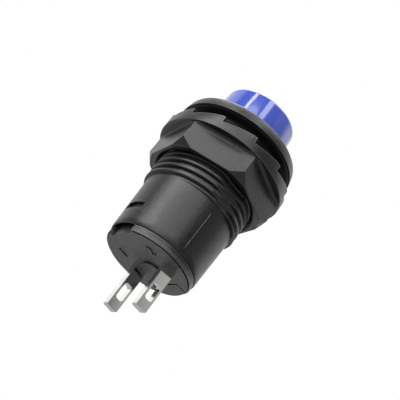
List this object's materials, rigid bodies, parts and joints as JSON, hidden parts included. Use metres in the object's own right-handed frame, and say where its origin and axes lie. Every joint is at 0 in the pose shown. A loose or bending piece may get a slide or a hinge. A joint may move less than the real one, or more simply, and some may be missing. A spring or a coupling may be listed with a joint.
{
  "type": "pushbutton switch",
  "caption": "Round panel-mount pushbutton switch with a blue cap, a black threaded barrel, a toothed hexagon nut and solder-lug terminals.",
  "frame": {"origin": "on the barrel's axis, in the plane of the flange's underside, where the panel sits", "axes": "+Z along the axis towards the button; +X from the left terminal to the right terminal; +Y makes it right-handed and is the side that the blades stand towards"},
  "size_m": [0.0156, 0.0156, 0.0285],
  "materials": {
    "black_nylon": "satin, fine-grained moulding",
    "nut_nylon": "satin, fine-grained moulding",
    "blue_cap": "glossy",
    "white_acetal": "satin",
    "spring_steel": "drawn wire",
    "contact_brass": "stamped",
    "contact_silver": "polished silver alloy",
    "plated_brass": "silver plated, bright",
    "cover_nylon": "satin, fine-grained moulding"
  },
  "bodies": {
    "housing_body": {"housing": "black_nylon", "rear_cover": "cover_nylon", "terminal_left": "plated_brass", "terminal_right": "plated_brass", "fixed_contact_left": "contact_silver", "fixed_contact_right": "contact_silver", "return_spring": "spring_steel"},
    "button_body": {"button_cap": "blue_cap", "plunger": "white_acetal", "contact_spring": "spring_steel"},
    "bridge_body": {"contact_bridge": "contact_brass", "bridge_contact_left": "contact_silver", "bridge_contact_right": "contact_silver"},
    "nut_body": {"panel_nut": "nut_nylon"}
  },
  "joints": [
    {"name": "button_press", "type": "slide", "parent": "housing_body", "child": "button_body", "axis": [0, 0, -1], "range_m": [0, 0.002], "stiffness_N_per_m": 500, "springref_m": -0.003, "deforming": ["return_spring"]},
    {"name": "bridge_travel", "type": "slide", "parent": "housing_body", "child": "bridge_body", "axis": [0, 0, -1], "range_m": [0, 0.0014], "deforming": ["contact_spring"]},
    {"name": "nut_turn", "type": "hinge", "parent": "housing_body", "child": "nut_body", "pos_m": [0, 0, -0.004], "axis": [0, 0, 1], "continuous": true}
  ],
  "couplings": [
    {"joint": "bridge_travel", "follows": "button_press", "ratio": 0.7}
  ]
}
